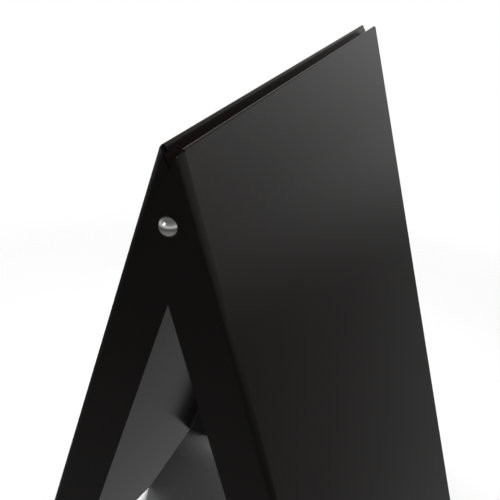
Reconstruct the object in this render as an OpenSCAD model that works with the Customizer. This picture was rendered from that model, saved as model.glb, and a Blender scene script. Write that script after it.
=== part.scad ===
// Folding A-frame sandwich board: two folded sheet-steel panels joined by a
// bolt at each top corner. It stands open on the XY plane, +Z up, +X to the
// right when facing the front panel, which faces -Y.

/* [Panels] */
// Width of the front panel, outside its flanges (mm)
face_w = 600; // [560:5:640]
// Height of each panel, along its slope (mm)
face_h = 850; // [800:5:900]
// Thickness of the sheet steel (mm)
sheet_t = 1.5; // [1.2:0.1:1.6]
// Depth of the front panel's side flanges, over the face (mm)
front_flange = 44; // [42:0.5:45]
// Depth of the back panel's side flanges, over the face (mm)
back_flange = 43; // [41:0.5:45]
// Outside radius of the side bends (mm)
bend_r = 6; // [5:0.25:6.5]

/* [Top edge] */
// Outside radius of the fold along the top edge (mm)
top_r = 2.0; // [1.8:0.05:2.2]
// Angle between a panel and its folded top lip (degrees)
lip_angle = 37.5; // [36:0.5:40]
// Gap between the two lips' edges when the board stands open (mm)
lip_gap = 0.3; // [0.2:0.1:0.6]

/* [Stance] */
// Lean of each panel from the vertical when open (degrees)
lean = 17.15; // [16.8:0.05:17.5]

/* [Bottom cut-out] */
// Width of the cut-out at the bottom edge (mm)
cut_w = 260; // [220:5:280]
// Height of the cut-out (mm)
cut_h = 40; // [20:1:45]
// Slope of the cut-out's ends (degrees)
cut_slope = 30; // [28:1:45]
// Radius of the cut-out's upper corners (mm)
cut_r = 15; // [5:1:20]

/* [Hinge] */
// Hinge axis below the top edge, along the panel (mm)
hinge_s = 50.8; // [50.3:0.1:51.3]
// Hinge axis behind the panel's outer face (mm)
hinge_n = 25.4; // [25.2:0.1:25.7]
// Diameter of the bolt's shank (mm)
bolt_d = 6; // [5:0.5:6]
// Diameter of the domed bolt head (mm)
head_d = 16; // [14:0.5:17]
// Height of the domed bolt head (mm)
head_h = 5.5; // [4:0.5:6]
// Outside diameter of the bush's barrel (mm)
barrel_d = 9; // [8.5:0.5:10]
// Diameter of the bush's shoulder (mm)
shoulder_d = 17; // [14:0.5:20]
// Diameter of the plain washer (mm)
washer_d = 18; // [14:0.5:20]
// Width of the lock nut across its flats (mm)
nut_af = 10; // [9:0.5:10]

/* [Hidden] */
$fn = 96;

side_gap = 1;                                // between the two flanges
run_fit = 0.05;                              // radial running clearance
lip_side = 0.4;                              // between a lip's end and a flange
front_half = face_w / 2;
back_half = front_half - sheet_t - side_gap;
top_ri = top_r - sheet_t;
bend_ri = bend_r - sheet_t;
pivot_z = (face_h - hinge_s) * cos(lean) - hinge_n * sin(lean);
// depth coordinate of the panel's top outer edge
top_y = hinge_s * sin(lean) - hinge_n * cos(lean);
// where the lip leaves the fold, and how long it is
lip_y = top_y - top_r * (1 - sin(lip_angle)) * sin(lean)
        + top_r * (1 + cos(lip_angle)) * cos(lean);
lip_len = (-lip_gap / 2 - lip_y) / sin(lip_angle - lean);

// hinge stack, measured inwards from the front flange's outer face
neck_w = bolt_d;
neck_l = sheet_t - 0.1;
shoulder_x = sheet_t;
barrel_x = shoulder_x + side_gap;
barrel_l = sheet_t + 0.1;
washer_x = barrel_x + barrel_l;
washer_t = 1.2;
nut_x = washer_x + washer_t;
hex_h = 4.4;
nut_h = 6;
shank_l = nut_x + nut_h + 1.2;

big = 2000;

// ---- placing -------------------------------------------------------------

// A panel is drawn with its outer face on y = 0, its inside towards +y and
// its top edge at z = 0, then leant over about the hinge.
module lean_front() {
  translate([0, 0, pivot_z]) rotate([-lean, 0, 0])
    translate([0, -hinge_n, hinge_s]) children();
}

module lean_back() { mirror([0, 1, 0]) lean_front() children(); }

// Hinge parts are drawn along +z from the flange's outer face inwards.
module at_hinge(side) {
  translate([side * front_half, 0, pivot_z])
    rotate([0, side > 0 ? -90 : 90, 0]) children();
}

// ---- sheet-metal panel ---------------------------------------------------

// Section of one side bend and flange, on the +x side
module side_section(half, depth) {
  translate([half - bend_r, bend_r]) intersection() {
    difference() { circle(r = bend_r); circle(r = bend_ri); }
    translate([0, -bend_r]) square([bend_r, bend_r]);
  }
  translate([half - sheet_t, bend_r]) square([sheet_t, depth - bend_r]);
}

// Section through the face, the top fold and its lip: y across, z up
module face_section(over) {
  steps = 12;
  function arc(r) = [for (i = [0:steps])
    let(a = 180 - i * (180 - lip_angle) / steps)
    [top_r + r * cos(a), -top_r + r * sin(a)]];
  out = arc(top_r);
  inn = arc(top_ri);
  run = lip_len * [sin(lip_angle), -cos(lip_angle)];
  polygon(concat([[0, -over]], out, [out[steps] + run, inn[steps] + run],
                 [for (i = [steps:-1:0]) inn[i]], [[sheet_t, -over]]));
}

// Section of the lip alone, from a little below the fold to its free edge
module lip_section(from) {
  function at(r, d) = [top_r + r * cos(lip_angle) + d * sin(lip_angle),
                       -top_r + r * sin(lip_angle) - d * cos(lip_angle)];
  polygon([at(top_r, from), at(top_r, lip_len), at(top_ri, lip_len),
           at(top_ri, from)]);
}

// Outline of the cut-out in the bottom edge, with rounded upper corners
module cut_outline() {
  steps = 6;
  top = cut_w / 2 - cut_h / tan(cut_slope);
  tl = cut_r * tan(cut_slope / 2);
  corner = [for (i = [0:steps]) let(a = 90 - i * cut_slope / steps)
    [top - tl + cut_r * cos(a), cut_h - cut_r + cut_r * sin(a)]];
  foot = cut_w / 2 + 20 / tan(cut_slope);
  polygon(concat([[-foot, -20]],
                 [for (i = [steps:-1:0]) [-corner[i][0], corner[i][1]]],
                 corner, [[foot, -20]]));
}

module panel(half, depth) {
  flat = half - bend_r;
  over = face_h + 30;
  difference() {
    union() {
      translate([-flat, 0, 0]) rotate([90, 0, 90]) linear_extrude(2 * flat)
        face_section(over);
      // below the corner relief the lip widens to just inside the flanges
      reach = half - sheet_t - lip_side;
      translate([-reach, 0, 0]) rotate([90, 0, 90]) linear_extrude(2 * reach)
        lip_section(0.7 * bend_r);
      for (m = [0, 1]) mirror([m, 0, 0]) difference() {
        // cut level with the fold at the corner
        translate([0, 0, -over]) linear_extrude(over - top_r)
          side_section(half, depth);
        // 45 degree mitre at the flange's top
        rotate([-45, 0, 0]) translate([0, -100, 0]) cube([half + 10, 200, 100]);
      }
    }
    translate([0, 20, -face_h]) rotate([90, 0, 0]) linear_extrude(40)
      cut_outline();
  }
}

// everything below the floor, so that the bottom edges stand flat on it
module below_floor() { translate([-big / 2, -big / 2, -big]) cube(big); }

// ---- nodes ---------------------------------------------------------------

module front_panel() {
  color("#2b2523") difference() {
    lean_front() difference() {
      panel(front_half, front_flange);
      // square holes that hold the bolts' necks
      for (m = [-1, 1]) translate([m * front_half, hinge_n, -hinge_s])
        cube([4 * sheet_t, neck_w + 2 * run_fit, neck_w + 2 * run_fit],
             center = true);
    }
    below_floor();
  }
}

module back_panel() {
  color("#2b2523") difference() {
    lean_back() difference() {
      panel(back_half, back_flange);
      translate([-big / 2, hinge_n, -hinge_s]) rotate([0, 90, 0])
        cylinder(d = barrel_d + 2 * run_fit, h = big);
    }
    below_floor();
  }
}

// Domed bolt with a short square neck; the neck is square to the panel
module hinge_bolt(side) {
  cap_r = (pow(head_d / 2, 2) + pow(head_h, 2)) / (2 * head_h);
  color("#d8d8da") at_hinge(side) {
    rotate([180, 0, 0]) rotate_extrude() intersection() {
      translate([0, head_h - cap_r]) circle(r = cap_r);
      square([head_d, head_h]);
    }
    rotate(side * lean) translate([-neck_w / 2, -neck_w / 2, 0])
      cube([neck_w, neck_w, neck_l]);
    cylinder(d = bolt_d, h = shank_l - 0.8);
    translate([0, 0, shank_l - 0.8])
      cylinder(d1 = bolt_d, d2 = bolt_d - 1.4, h = 0.8);
  }
}

// Nylon bush: a shoulder between the flanges, and a barrel on which the back
// flange turns
module shoulder_bush(side) {
  color("#e8e4d8") at_hinge(side) difference() {
    union() {
      translate([0, 0, shoulder_x]) cylinder(d = shoulder_d, h = side_gap);
      translate([0, 0, shoulder_x]) cylinder(d = barrel_d,
                                             h = side_gap + barrel_l);
    }
    translate([0, 0, -1]) cylinder(d = bolt_d + 2 * run_fit, h = 20);
  }
}

module hinge_washer(side) {
  color("#b9bbbd") at_hinge(side) translate([0, 0, washer_x]) difference() {
    cylinder(d = washer_d, h = washer_t);
    translate([0, 0, -1]) cylinder(d = bolt_d + 0.4, h = washer_t + 2);
  }
}

// Hexagon lock nut with a round collar that holds a nylon ring
module lock_nut(side) {
  color("#b9bbbd") at_hinge(side) translate([0, 0, nut_x]) difference() {
    union() {
      intersection() {
        cylinder(d = nut_af / cos(30), h = hex_h, $fn = 6);
        rotate_extrude() polygon([[0, 0], [nut_af / 2 - 0.1, 0],
          [nut_af / 2 + 0.75, 0.5], [nut_af / 2 + 0.75, hex_h - 0.5],
          [nut_af / 2 - 0.1, hex_h], [0, hex_h]]);
      }
      cylinder(d = nut_af - 0.8, h = nut_h);
    }
    translate([0, 0, -1]) cylinder(d = bolt_d + 2 * run_fit, h = nut_h + 2);
    translate([0, 0, nut_h - 1.6]) cylinder(d = bolt_d + 2, h = 1.2);
  }
}

module nut_insert(side) {
  color("#3c64a8") at_hinge(side) translate([0, 0, nut_x + nut_h - 1.58])
    difference() {
      cylinder(d = bolt_d + 1.94, h = 1.16);
      translate([0, 0, -1]) cylinder(d = bolt_d + 2 * run_fit, h = 4);
    }
}

front_panel();
back_panel();
hinge_bolt(-1);  // hinge_bolt_left
hinge_bolt(1);  // hinge_bolt_right
shoulder_bush(-1);  // shoulder_bush_left
shoulder_bush(1);  // shoulder_bush_right
hinge_washer(-1);  // hinge_washer_left
hinge_washer(1);  // hinge_washer_right
lock_nut(-1);  // lock_nut_left
lock_nut(1);  // lock_nut_right
nut_insert(-1);  // nut_insert_left
nut_insert(1);  // nut_insert_right
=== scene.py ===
import bpy, bmesh, math, random
from mathutils import Vector, Matrix
from mathutils.geometry import delaunay_2d_cdt


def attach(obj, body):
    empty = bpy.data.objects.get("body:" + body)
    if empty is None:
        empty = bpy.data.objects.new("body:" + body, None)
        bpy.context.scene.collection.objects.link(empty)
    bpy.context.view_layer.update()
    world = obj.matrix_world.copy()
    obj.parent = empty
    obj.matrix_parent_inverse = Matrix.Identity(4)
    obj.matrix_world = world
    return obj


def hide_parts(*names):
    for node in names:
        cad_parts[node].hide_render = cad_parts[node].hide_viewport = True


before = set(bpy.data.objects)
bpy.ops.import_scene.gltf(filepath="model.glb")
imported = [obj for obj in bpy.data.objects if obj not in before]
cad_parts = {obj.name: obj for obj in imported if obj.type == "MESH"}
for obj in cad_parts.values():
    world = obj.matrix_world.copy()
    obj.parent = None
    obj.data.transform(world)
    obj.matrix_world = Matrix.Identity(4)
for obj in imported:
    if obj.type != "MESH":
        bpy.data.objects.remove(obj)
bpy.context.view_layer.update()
scene = bpy.context.scene

# ---------------------------------------------------------------- dimensions
# the same numbers as the CAD source, in millimetres
FACE_W, FACE_H, T = 600.0, 850.0, 1.5
FRONT_FL, BACK_FL = 44.0, 43.0
BEND_R, TOP_R = 6.0, 2.0
LIP_ANGLE, LIP_GAP = 37.5, 0.3
LEAN = 17.15
CUT_W, CUT_H, CUT_SLOPE, CUT_R = 260.0, 40.0, 30.0, 15.0
HINGE_S, HINGE_N = 50.8, 25.4
BOLT_D, HEAD_D, HEAD_H = 6.0, 16.0, 5.5
BARREL_D, SHOULDER_D, WASHER_D, NUT_AF = 9.0, 17.0, 18.0, 10.0
FIT, SIDE_GAP, LIP_SIDE = 0.05, 1.0, 0.4
a = math.radians(LEAN)
SA, CA, TA = math.sin(a), math.cos(a), math.tan(a)
PIVOT_Z = (FACE_H - HINGE_S) * CA - HINGE_N * SA
MM = 0.001


def placed(x, n, s, back):
    """panel coordinates (across, inwards, down the panel) to the row frame"""
    y = -(s - HINGE_S) * SA + (n - HINGE_N) * CA
    z = PIVOT_Z - (s - HINGE_S) * CA - (n - HINGE_N) * SA
    return Vector((x * MM, (-y if back else y) * MM, z * MM))


def new_object(name, bm, smooth=40):
    bmesh.ops.recalc_face_normals(bm, faces=bm.faces)
    me = bpy.data.meshes.new(name)
    bm.to_mesh(me)
    bm.free()
    me.shade_smooth()
    me.set_sharp_from_angle(angle=math.radians(smooth))
    ob = bpy.data.objects.new(name, me)
    scene.collection.objects.link(ob)
    return ob


def flat_shading_kept(ob):
    m = ob.modifiers.new("normals", "WEIGHTED_NORMAL")
    m.mode = "FACE_AREA"
    m.weight = 100
    m.keep_sharp = True
    bpy.context.view_layer.update()
    deps = bpy.context.evaluated_depsgraph_get()
    me = bpy.data.meshes.new_from_object(ob.evaluated_get(deps))
    me.name = ob.name
    ob.modifiers.clear()
    ob.data = me


# ------------------------------------------------------------ folded panels
def panel_mesh(name, half, depth, back, hole):
    """The flat blank of one folded pan, not yet folded: u runs across the
    blank, v down it. hole is "round" or "square"."""
    flat = half - BEND_R
    seg = 18
    bend_len = BEND_R * math.pi / 2
    sweep = math.radians(180 - LIP_ANGLE)
    fold_len = TOP_R * sweep
    la, lean = math.radians(LIP_ANGLE), a
    top_y = HINGE_S * SA - HINGE_N * CA
    lip_y = top_y - TOP_R * (1 - math.sin(la)) * SA + TOP_R * (1 + math.cos(la)) * CA
    lip_len = (-LIP_GAP / 2 - lip_y) / math.sin(la - lean)

    def n_of(d):            # inward coordinate of the outer surface, d past flat
        if d <= bend_len:
            th = d / BEND_R
            return BEND_R * (1 - math.cos(th))
        return BEND_R + d - bend_len

    verts, index, tags = [], {}, []

    def vert(u, v, tag=""):
        k = (round(u, 5), round(v, 5))
        if k not in index:
            index[k] = len(verts)
            verts.append(k)
            tags.append(set())
        tags[index[k]].add(tag)
        return index[k]

    d_end = bend_len + depth - BEND_R
    ds = [bend_len * i / seg for i in range(seg + 1)]
    # outline, going round once
    loop = []
    bot = lambda d: FACE_H - n_of(d) * TA
    top = lambda d: max(n_of(d), TOP_R)
    # left: bottom of flange, up its free edge, down the mitre to the face
    loop.append(vert(-(flat + d_end), bot(d_end), "bottom"))
    loop.append(vert(-(flat + d_end), top(d_end), "mitre"))
    for d in reversed(ds):
        if d > 0:
            loop.append(vert(-(flat + d), top(d), "mitre"))
    fold_v = [TOP_R - fold_len * i / seg for i in range(seg + 1)]
    lip_v = TOP_R - fold_len - lip_len
    loop.append(vert(-flat, TOP_R, "seam"))
    for v in fold_v[1:]:
        loop.append(vert(-flat, v, "fold"))
    # past the corner relief the lip widens to just inside the flanges
    ear_v, reach = TOP_R - fold_len - 0.7 * BEND_R, half - T - LIP_SIDE
    for m, v in ((-flat, ear_v), (-reach, ear_v), (-reach, lip_v),
                 (reach, lip_v), (reach, ear_v), (flat, ear_v)):
        loop.append(vert(m, v, "lip"))
    for v in reversed(fold_v[1:]):
        loop.append(vert(flat, v, "fold"))
    loop.append(vert(flat, TOP_R, "seam"))
    for d in ds[1:]:
        loop.append(vert(flat + d, top(d), "mitre"))
    loop.append(vert(flat + d_end, top(d_end), "mitre"))
    loop.append(vert(flat + d_end, bot(d_end), "bottom"))
    for d in reversed(ds):
        loop.append(vert(flat + d, bot(d), "bottom"))
    # the cut-out
    c = math.radians(CUT_SLOPE)
    ctop = CUT_W / 2 - CUT_H / math.tan(c)
    tl = CUT_R * math.tan(c / 2)
    arc = [(ctop - tl + CUT_R * math.sin(c * i / 6),
            CUT_H - CUT_R + CUT_R * math.cos(c * i / 6)) for i in range(7)]
    loop.append(vert(CUT_W / 2, FACE_H, "bottom"))
    for x, h in reversed(arc):
        loop.append(vert(x, FACE_H - h, "cut"))
    for x, h in arc:
        loop.append(vert(-x, FACE_H - h, "cut"))
    loop.append(vert(-CUT_W / 2, FACE_H, "bottom"))
    for d in ds:
        loop.append(vert(-(flat + d), bot(d), "bottom"))
    edges = []
    # creases: along the side bends, and along the top fold
    for m in (-1, 1):
        for d in ds:
            i = index[(round(m * (flat + d), 5), round(top(d), 5))]
            j = index[(round(m * (flat + d), 5), round(bot(d), 5))]
            edges.append((i, j))
    for v in fold_v:
        edges.append((index[(round(-flat, 5), round(v, 5))],
                      index[(round(flat, 5), round(v, 5))]))
    # hinge holes
    hole_loops = []
    for m in (-1, 1):
        uc = flat + bend_len + HINGE_N - BEND_R
        pts = []
        if hole == "round":
            r = BARREL_D / 2 + FIT
            for i in range(48):
                t = 2 * math.pi * i / 48
                pts.append((m * (uc + r * math.cos(t)), HINGE_S + r * math.sin(t)))
        else:
            h = BOLT_D / 2 + FIT
            pts = [(m * (uc + i * h), HINGE_S + j * h)
                   for i, j in ((-1, -1), (1, -1), (1, 1), (-1, 1))]
        ids = [vert(u, v, "hole") for u, v in pts]
        if m < 0:
            ids.reverse()
        hole_loops.append(ids)
        edges += [(ids[i], ids[(i + 1) % len(ids)]) for i in range(len(ids))]
    out_v, out_e, out_f, ov, oe, of_ = delaunay_2d_cdt(
        [Vector(v) for v in verts], edges, [loop], 4, 1e-5)
    bored = [set(h) for h in hole_loops]
    kept = []
    for f in out_f:
        src = set()
        for i in f:
            src |= set(ov[i])
        if not any(src <= h for h in bored):
            kept.append(f)
    return dict(tags=tags, out_v=out_v, out_f=kept, ov=ov, half=half, flat=flat,
                bend_len=bend_len, fold_len=fold_len, la=la)


def fold_point(P, u, v, inner, tag):
    """A point of the blank, folded: its place on the outer or inner skin"""
    flat, m = P["flat"], (1 if u >= 0 else -1)
    d = abs(u) - flat
    off = T if inner else 0.0
    q = TOP_R - v
    if q > 1e-6:
        x = u
        if q <= P["fold_len"] + 1e-6:
            t = math.pi - q / TOP_R
            r = TOP_R - off
            n, s = TOP_R + r * math.cos(t), TOP_R - r * math.sin(t)
        else:
            t = P["la"]
            r = TOP_R - off
            e = q - P["fold_len"]
            n = TOP_R + r * math.cos(t) + e * math.sin(t)
            s = TOP_R - r * math.sin(t) + e * math.cos(t)
    elif d > 1e-6:
        if d <= P["bend_len"]:
            th = d / BEND_R
            r = BEND_R - off
            x = flat + r * math.sin(th)
            n = BEND_R - r * math.cos(th)
        else:
            x = P["half"] - off
            n = BEND_R + d - P["bend_len"]
        s = v
        x *= m
    else:
        x, n, s = u, off, v
    if "bottom" in tag:
        s = FACE_H - n * TA
    if "mitre" in tag:
        s = max(n, TOP_R)
    return x, n, s


def build_panel(name, half, depth, back, hole):
    P = panel_mesh(name, half, depth, back, hole)
    tags_out = []
    for src in P["ov"]:
        t = set()
        for i in src:
            t |= P["tags"][i]
        tags_out.append(t)
    bm = bmesh.new()
    outer, inner = [], []
    for i, p in enumerate(P["out_v"]):
        t = tags_out[i]
        outer.append(bm.verts.new(placed(*fold_point(P, p.x, p.y, False, t), back)))
        inner.append(bm.verts.new(placed(*fold_point(P, p.x, p.y, True, t), back)))
    count = {}
    for f in P["out_f"]:
        cx = sum(P["out_v"][i].x for i in f) / len(f)
        cy = sum(P["out_v"][i].y for i in f) / len(f)
        bm.faces.new([outer[i] for i in f])
        bm.faces.new([inner[i] for i in reversed(f)])
        for i in range(len(f)):
            e = (f[i], f[(i + 1) % len(f)])
            count[e] = count.get(e, 0) + 1
    soft = []
    for (i, j) in count:
        if (j, i) not in count:
            bm.faces.new([outer[j], outer[i], inner[i], inner[j]])
            ti, tj = tags_out[i], tags_out[j]
            if "fold" in ti or "fold" in tj or "hole" in ti:
                continue
            soft.append((i, j))
    bm.normal_update()
    bm.edges.ensure_lookup_table()
    sel = []
    for i, j in soft:
        for side in (outer, inner):
            e = bm.edges.get((side[i], side[j]))
            if e is not None:
                sel.append(e)
    bmesh.ops.recalc_face_normals(bm, faces=bm.faces)
    bmesh.ops.bevel(bm, geom=sel, offset=0.22 * MM, offset_type="OFFSET",
                    segments=2, profile=0.5, affect="EDGES", clamp_overlap=False)
    loose = [v for v in bm.verts if not v.link_faces]
    bmesh.ops.delete(bm, geom=loose, context="VERTS")
    # the rounded bottom edge stays on the ground
    for v in bm.verts:
        v.co.z = max(v.co.z, 0.0)
    ob = new_object(name, bm, 42)
    flat_shading_kept(ob)
    return ob


def at_hinge(side, d, r, t):
    """d in mm inwards from the front flange's outer face"""
    return Vector((side * (FACE_W / 2 - d) * MM, r * MM * math.cos(t),
                   PIVOT_Z * MM + r * MM * math.sin(t)))


def lathe(bm, side, profile, segs=64, ring=False, cap=False):
    """Turns (distance inwards, radius) points about the hinge axis"""
    rings = []
    for d, r in profile:
        if r < 1e-6:
            rings.append([bm.verts.new(at_hinge(side, d, 0, 0))])
        else:
            rings.append([bm.verts.new(at_hinge(side, d, r, 2 * math.pi * i / segs))
                          for i in range(segs)])
    pairs = list(zip(rings[:-1], rings[1:]))
    if ring:
        pairs.append((rings[-1], rings[0]))
    for p, q in pairs:
        for i in range(segs):
            j = (i + 1) % segs
            if len(p) == 1:
                bm.faces.new([p[0], q[i], q[j]])
            elif len(q) == 1:
                bm.faces.new([p[i], q[0], p[j]])
            else:
                bm.faces.new([p[i], q[i], q[j], p[j]])
    return rings


def fan(bm, circle, corners):
    """Flat faces between a circle of verts and the corners of a polygon round
    or inside it"""
    n, m = len(circle), len(corners)
    near = []
    for c in circle:
        near.append(min(range(m), key=lambda k: ((c.co - corners[k].co).length, k)))
    for i in range(n):
        j = (i + 1) % n
        if near[i] == near[j]:
            bm.faces.new([circle[i], circle[j], corners[near[i]]])
        else:
            bm.faces.new([circle[i], circle[j], corners[near[j]], corners[near[i]]])


def build_bolt(name, side):
    bm = bmesh.new()
    cap_r = ((HEAD_D / 2) ** 2 + HEAD_H ** 2) / (2 * HEAD_H)
    edge = math.asin(HEAD_D / 2 / cap_r)
    rim = 0.35
    # the dome, then a small round at its rim, then the flat underside
    stop = edge - rim * 1.1 / cap_r
    prof = [(HEAD_H * 0 + (cap_r - HEAD_H) - cap_r * math.cos(stop * i / 22),
             cap_r * math.sin(stop * i / 22)) for i in range(23)]
    d1, r1 = prof[-1]
    for k in (1, 2, 3):
        t = k / 3
        prof.append((d1 * (1 - t) ** 1.6, r1 + (HEAD_D / 2 - 0.06 - r1) * math.sin(t * math.pi / 2)
                     - 0.10 * t ** 3))
    prof[-1] = (0.0, HEAD_D / 2 - 0.16)
    rings = lathe(bm, side, prof, 96)
    lean = side * a
    h = BOLT_D / 2

    def square(d):
        out = []
        for k in range(4):
            t = math.pi / 4 + k * math.pi / 2 + (-a)
            out.append(bm.verts.new(at_hinge(side, d, h * math.sqrt(2), t)))
        return out

    top, low = square(0.0), square(T - 0.1)
    fan(bm, rings[-1], top)
    for k in range(4):
        bm.faces.new([top[k], low[k], low[(k + 1) % 4], top[(k + 1) % 4]])
    shank = T + SIDE_GAP + T + 0.1 + 1.2 + 6 + 1.2
    tail = [(T - 0.1, h - 0.02)]
    d = T + SIDE_GAP + T + 0.1 + 0.9
    tail.append((d, h - 0.02))
    # rolled thread on the end that carries the nut
    while d < shank - 1.3:
        tail += [(d + 0.5, h - 0.32), (d + 1.0, h - 0.02)]
        d += 1.0
    tail += [(shank - 0.25, h - 0.75), (shank, h - 1.2), (shank, 0.0)]
    r2 = lathe(bm, side, tail, 48)
    fan(bm, r2[0], low)
    ob = new_object(name, bm, 38)
    return ob


def build_nut(name, side):
    bm = bmesh.new()
    d0 = T + SIDE_GAP + T + 0.1 + 1.2
    hexh, h, bore = 4.4, 6.0, BOLT_D / 2 + FIT
    segs, af = 96, NUT_AF / 2

    def rad(t, cham):
        # hexagon cut by the 30 degree chamfer cone
        w = math.pi / 3
        u = (t + w / 2) % w - w / 2
        return min(af / math.cos(u), cham)

    prof = [(0.0, af - 0.1), (0.18, af + 0.18), (0.36, af + 0.46), (0.55, af + 0.80),
            (hexh - 0.55, af + 0.80), (hexh - 0.36, af + 0.46), (hexh - 0.18, af + 0.18),
            (hexh, af - 0.1)]
    rings = []
    lead = [(0.0, bore), (0.0, bore + 0.4)]
    collar = [(hexh, af - 0.4), (h - 0.5, af - 0.4), (h - 0.2, af - 0.5), (h, af - 0.8),
              (h, BOLT_D / 2 + 1.0), (h - 1.6, BOLT_D / 2 + 1.0), (h - 1.6, bore)]
    for d, r in lead:
        rings.append([bm.verts.new(at_hinge(side, d0 + d, r, 2 * math.pi * i / segs)) for i in range(segs)])
    for d, r in prof:
        rings.append([bm.verts.new(at_hinge(side, d0 + d, rad(2 * math.pi * i / segs, r),
                                            2 * math.pi * i / segs)) for i in range(segs)])
    for d, r in collar:
        rings.append([bm.verts.new(at_hinge(side, d0 + d, r, 2 * math.pi * i / segs)) for i in range(segs)])
    for p, q in list(zip(rings, rings[1:])) + [(rings[-1], rings[0])]:
        for i in range(segs):
            j = (i + 1) % segs
            bm.faces.new([p[i], q[i], q[j], p[j]])
    return new_object(name, bm, 32)


def build_ring_part(name, side, d0, d1, r0, r1, ease):
    """A washer or ring with eased edges"""
    bm = bmesh.new()
    e = ease
    prof = [(d0, r0), (d0, r1 - e), (d0 + e * 0.3, r1 - e * 0.3), (d0 + e, r1),
            (d1 - e, r1), (d1 - e * 0.3, r1 - e * 0.3), (d1, r1 - e), (d1, r0)]
    lathe(bm, side, prof, 96, ring=True)
    return new_object(name, bm, 40)


def build_bush(name, side):
    bm = bmesh.new()
    d0, d1 = T, T + SIDE_GAP
    d2 = d1 + T + 0.1
    ri, rb, rs = BOLT_D / 2 + FIT, BARREL_D / 2, SHOULDER_D / 2
    prof = [(d0, ri), (d0, rs - 0.2), (d0 + 0.2, rs), (d1 - 0.2, rs), (d1, rs - 0.2),
            (d1, rb), (d2 - 0.2, rb), (d2, rb - 0.2), (d2, ri)]
    lathe(bm, side, prof, 96, ring=True)
    return new_object(name, bm, 40)


# ---------------------------------------------------------------- materials
def material(name):
    m = bpy.data.materials.new(name)
    m.use_nodes = True
    nt = m.node_tree
    return m, nt, nt.nodes["Principled BSDF"]


def node(nt, kind, **values):
    n = nt.nodes.new(kind)
    for k, v in values.items():
        if k in n.inputs:
            n.inputs[k].default_value = v
        else:
            setattr(n, k, v)
    return n


def noise(nt, coord, scale, detail=3.0, rough=0.5):
    n = nt.nodes.new("ShaderNodeTexNoise")
    n.inputs["Scale"].default_value = scale
    n.inputs["Detail"].default_value = detail
    n.inputs["Roughness"].default_value = rough
    nt.links.new(coord, n.inputs["Vector"])
    return n.outputs["Fac"]


def remap(nt, value, a0, a1, b0, b1):
    n = nt.nodes.new("ShaderNodeMapRange")
    for k, v in zip(("From Min", "From Max", "To Min", "To Max"), (a0, a1, b0, b1)):
        n.inputs[k].default_value = v
    nt.links.new(value, n.inputs["Value"])
    return n.outputs["Result"]


def mix(nt, fac, c1, c2):
    n = nt.nodes.new("ShaderNodeMix")
    n.data_type = "RGBA"
    if isinstance(fac, float):
        n.inputs[0].default_value = fac
    else:
        nt.links.new(fac, n.inputs[0])
    for k, c in ((6, c1), (7, c2)):
        if isinstance(c, tuple):
            n.inputs[k].default_value = (*c, 1)
        else:
            nt.links.new(c, n.inputs[k])
    return n.outputs[2]


def bump(nt, bsdf, height, distance, strength=1.0, under=None):
    n = nt.nodes.new("ShaderNodeBump")
    n.inputs["Distance"].default_value = distance
    n.inputs["Strength"].default_value = strength
    nt.links.new(height, n.inputs["Height"])
    if under is not None:
        nt.links.new(under, n.inputs["Normal"])
    nt.links.new(n.outputs["Normal"], bsdf.inputs["Normal"])
    return n.outputs["Normal"]


def coord_of(nt):
    return nt.nodes.new("ShaderNodeTexCoord").outputs["Object"]


def coat_material(name, seed):
    """Fine-textured satin powder coat, near black"""
    m, nt, b = material(name)
    co = coord_of(nt)
    shift = node(nt, "ShaderNodeMapping")
    shift.inputs["Location"].default_value = (seed, seed * 0.7, -seed)
    nt.links.new(co, shift.inputs["Vector"])
    co = shift.outputs["Vector"]
    broad = noise(nt, co, 5.0, 2.0)
    speck = noise(nt, co, 900.0, 2.0, 0.6)
    fine = noise(nt, co, 1300.0, 2.0, 0.6)
    peel = noise(nt, co, 500.0, 2.0, 0.5)
    col = mix(nt, remap(nt, broad, 0.35, 0.65, 0.0, 1.0), COAT_A, COAT_B)
    col = mix(nt, remap(nt, speck, 0.62, 0.72, 0.0, 0.35), col, COAT_C)
    nt.links.new(col, b.inputs["Base Color"])
    rough = remap(nt, broad, 0.3, 0.7, COAT_ROUGH - 0.004, COAT_ROUGH + 0.004)
    add = nt.nodes.new("ShaderNodeMath")
    add.operation = "ADD"
    nt.links.new(rough, add.inputs[0])
    nt.links.new(remap(nt, fine, 0.3, 0.7, -0.015, 0.015), add.inputs[1])
    nt.links.new(add.outputs[0], b.inputs["Roughness"])
    n1 = bump(nt, b, peel, 0.000003, 0.4)
    bump(nt, b, fine, 0.000006, 0.7, n1)
    b.inputs["IOR"].default_value = 1.5
    nt.links.new(remap(nt, noise(nt, co, 420.0, 2.0, 0.6), 0.3, 0.7, 0.31, 0.41), b.inputs["Specular IOR Level"])
    return m


COAT_A, COAT_B, COAT_C = (0.0052, 0.0036, 0.0031), (0.0062, 0.0044, 0.0038), (0.012, 0.009, 0.008)
COAT_ROUGH = 0.17


def chrome_material():
    m, nt, b = material("bolt_chrome")
    co = coord_of(nt)
    nt.links.new(mix(nt, noise(nt, co, 60.0), (0.80, 0.79, 0.78), (0.88, 0.87, 0.86)), b.inputs["Base Color"])
    b.inputs["Metallic"].default_value = 1.0
    nt.links.new(remap(nt, noise(nt, co, 320.0, 4.0), 0.3, 0.7, 0.05, 0.09), b.inputs["Roughness"])
    bump(nt, b, noise(nt, co, 260.0, 4.0, 0.6), 0.00001, 0.6)
    return m


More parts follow.
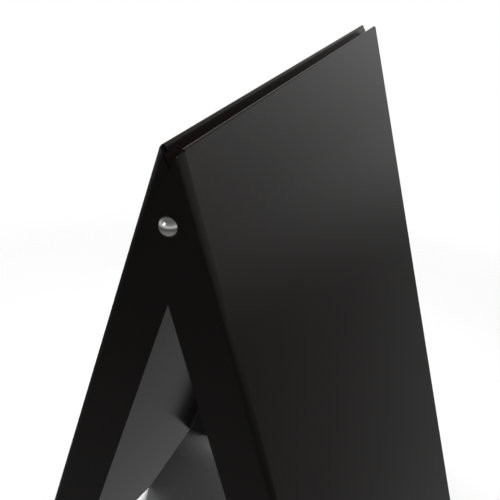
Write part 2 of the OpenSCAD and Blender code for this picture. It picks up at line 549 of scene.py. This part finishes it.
def zinc_material():
    m, nt, b = material("zinc_plate")
    co = coord_of(nt)
    v = nt.nodes.new("ShaderNodeTexVoronoi")
    v.inputs["Scale"].default_value = 900.0
    nt.links.new(co, v.inputs["Vector"])
    nt.links.new(mix(nt, v.outputs["Distance"], (0.50, 0.52, 0.55), (0.66, 0.66, 0.64)), b.inputs["Base Color"])
    b.inputs["Metallic"].default_value = 1.0
    nt.links.new(remap(nt, noise(nt, co, 500.0, 4.0), 0.3, 0.7, 0.26, 0.42), b.inputs["Roughness"])
    bump(nt, b, noise(nt, co, 700.0, 3.0), 0.00001, 0.8)
    return m


def nylon_material(name, c1, c2):
    m, nt, b = material(name)
    co = coord_of(nt)
    nt.links.new(mix(nt, noise(nt, co, 180.0), c1, c2), b.inputs["Base Color"])
    nt.links.new(remap(nt, noise(nt, co, 600.0), 0.3, 0.7, 0.38, 0.5), b.inputs["Roughness"])
    b.inputs["Subsurface Weight"].default_value = 0.15
    b.inputs["Subsurface Radius"].default_value = (0.6, 0.5, 0.4)
    b.inputs["Subsurface Scale"].default_value = 0.001
    bump(nt, b, noise(nt, co, 900.0), 0.00001, 0.5)
    return m


MAT = {
    "front": coat_material("panel_coat_front", 0.0),
    "back": coat_material("panel_coat_back", 3.1),
    "chrome": chrome_material(),
    "zinc": zinc_material(),
    "nylon": nylon_material("nylon_natural", (0.72, 0.69, 0.60), (0.80, 0.78, 0.70)),
    "ring": nylon_material("nylon_ring", (0.05, 0.11, 0.30), (0.07, 0.16, 0.40)),
}


def finish_piece(ob, body, cad, mat):
    ob.data.materials.clear()
    ob.data.materials.append(mat)
    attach(ob, body)
    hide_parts(cad)


# ------------------------------------------------------------------- pieces
finish_piece(build_panel("front_panel_sheet", FACE_W / 2, FRONT_FL, False, "square"),
             "front", "front_panel", MAT["front"])
finish_piece(build_panel("back_panel_sheet", FACE_W / 2 - T - SIDE_GAP, BACK_FL, True, "round"),
             "back", "back_panel", MAT["back"])
for word, side in (("left", -1), ("right", 1)):
    finish_piece(build_bolt("domed_bolt_" + word, side), "front",
                 "hinge_bolt_" + word, MAT["chrome"])
    finish_piece(build_bush("nylon_bush_" + word, side), "front",
                 "shoulder_bush_" + word, MAT["nylon"])
    wx = T + SIDE_GAP + T + 0.1
    finish_piece(build_ring_part("plain_washer_" + word, side, wx, wx + 1.2,
                                 BOLT_D / 2 + 0.2, WASHER_D / 2, 0.15),
                 "front", "hinge_washer_" + word, MAT["zinc"])
    finish_piece(build_nut("hex_lock_nut_" + word, side), "front",
                 "lock_nut_" + word, MAT["zinc"])
    nx = wx + 1.2 + 6.0
    finish_piece(build_ring_part("lock_ring_" + word, side, nx - 1.58, nx - 0.42,
                                 BOLT_D / 2 + FIT, BOLT_D / 2 + 0.97, 0.1),
                 "front", "nut_insert_" + word, MAT["ring"])

# -------------------------------------------------------------------- stage
def floor_material():
    m, nt, b = material("pale_floor")
    co = coord_of(nt)
    col = mix(nt, noise(nt, co, 3.0), (0.86, 0.86, 0.86), (0.88, 0.88, 0.88))
    nt.links.new(col, b.inputs["Base Color"])
    b.inputs["Roughness"].default_value = 0.7
    b.inputs["Specular IOR Level"].default_value = 0.2
    # the floor fades out into the backdrop
    sep = nt.nodes.new("ShaderNodeVectorMath")
    sep.operation = "LENGTH"
    nt.links.new(co, sep.inputs[0])
    alpha = remap(nt, sep.outputs["Value"], FLOOR_IN, FLOOR_OUT, 1.0, 0.0)
    nt.links.new(alpha, b.inputs["Alpha"])
    return m


FLOOR_IN, FLOOR_OUT = 0.8, 1.5
bm = bmesh.new()
bmesh.ops.create_circle(bm, cap_ends=True, radius=FLOOR_OUT, segments=96)
floor = new_object("floor", bm)
if floor.data.polygons[0].normal.z < 0:
    floor.data.flip_normals()
floor.data.materials.append(floor_material())
floor.visible_glossy = False


# a soft studio, told by direction: white for camera rays, and for other
# rays a grey that changes only with the height of the direction
world = bpy.data.worlds.new("studio")
scene.world = world
world.use_nodes = True
nt = world.node_tree
nt.nodes.clear()
out = nt.nodes.new("ShaderNodeOutputWorld")
back = nt.nodes.new("ShaderNodeBackground")
back.inputs["Color"].default_value = (1, 1, 1, 1)
soft = nt.nodes.new("ShaderNodeBackground")
path = nt.nodes.new("ShaderNodeLightPath")
both = nt.nodes.new("ShaderNodeMixShader")
nt.links.new(path.outputs["Is Camera Ray"], both.inputs[0])
nt.links.new(soft.outputs[0], both.inputs[1])
nt.links.new(back.outputs[0], both.inputs[2])
nt.links.new(both.outputs[0], out.inputs[0])
tc = nt.nodes.new("ShaderNodeTexCoord")
xyz = nt.nodes.new("ShaderNodeSeparateXYZ")
nt.links.new(tc.outputs["Generated"], xyz.inputs[0])


def math_node(op, *args):
    n = nt.nodes.new("ShaderNodeMath")
    n.operation = op
    for k, v in enumerate(args):
        if isinstance(v, (int, float)):
            n.inputs[k].default_value = v
        else:
            nt.links.new(v, n.inputs[k])
    return n.outputs[0]


# height of the direction, in degrees
EL = math_node("MULTIPLY", math_node("ARCSINE", xyz.outputs["Z"]), 180 / math.pi)


def by_height(stops, height):
    """A grey that changes with the height of the direction, in degrees"""
    r = nt.nodes.new("ShaderNodeValToRGB")
    cr = r.color_ramp
    cr.interpolation = "EASE"
    while len(cr.elements) < len(stops):
        cr.elements.new(0.5)
    for e, (h, v) in zip(cr.elements, stops):
        e.position = (h + 90) / 180
        e.color = (v, v, v, 1)
    nt.links.new(math_node("DIVIDE", math_node("ADD", height, 90.0), 180.0), r.inputs["Fac"])
    return r.outputs["Color"]


# a plain neutral studio, the same all round: a soft pale band at eye level
nt.links.new(by_height([(-90, 0.20), (-60, 0.18), (-45, 0.14), (-30, 0.09), (-18, 0.08), (-8, 0.28), (0, 0.44),
                        (8, 0.46), (24, 0.20), (50, 0.12), (90, 0.12)], EL), soft.inputs["Color"])


def area(name, loc, target, size, power, color=(1, 1, 1), spread=180):
    l = bpy.data.lights.new(name, "AREA")
    l.shape = "RECTANGLE"
    l.size, l.size_y = size
    l.energy = power
    l.color = color
    l.spread = math.radians(spread)
    o = bpy.data.objects.new(name, l)
    o.location = loc
    o.rotation_euler = (Vector(target) - Vector(loc)).to_track_quat("-Z", "Y").to_euler()
    scene.collection.objects.link(o)
    return o


area("overhead", (0.1, 0.0, 3.0), (0.1, 0, 0), (1.0, 3.0), 118).visible_glossy = False
area("softbox", (-2.2, 1.33, 1.69), (-0.3, 0, 0.75), (1.0, 1.0), 6)

# ------------------------------------------------------------------- camera
cam_data = bpy.data.cameras.new("camera")
cam = bpy.data.objects.new("camera", cam_data)
scene.collection.objects.link(cam)
cam_data.sensor_width = 36
cam_data.lens = 50.164
cam_data.shift_x = 0.001
cam_data.clip_start = 0.02
R = Vector((0.363054, -0.93027, 0.052817))
U = Vector((0.406165, 0.209019, 0.889574))
B = R.cross(U).normalized()
U = B.cross(R).normalized()
rot = Matrix((R.normalized(), U, B)).transposed()
cam.matrix_world = Matrix.Translation(Vector((-0.68725, -0.19967, 0.96209))) @ rot.to_4x4()
scene.camera = cam
scene.view_settings.view_transform = "Standard"
scene.view_settings.look = "None"
scene.view_settings.exposure = 0.0
scene.view_settings.gamma = 1.0
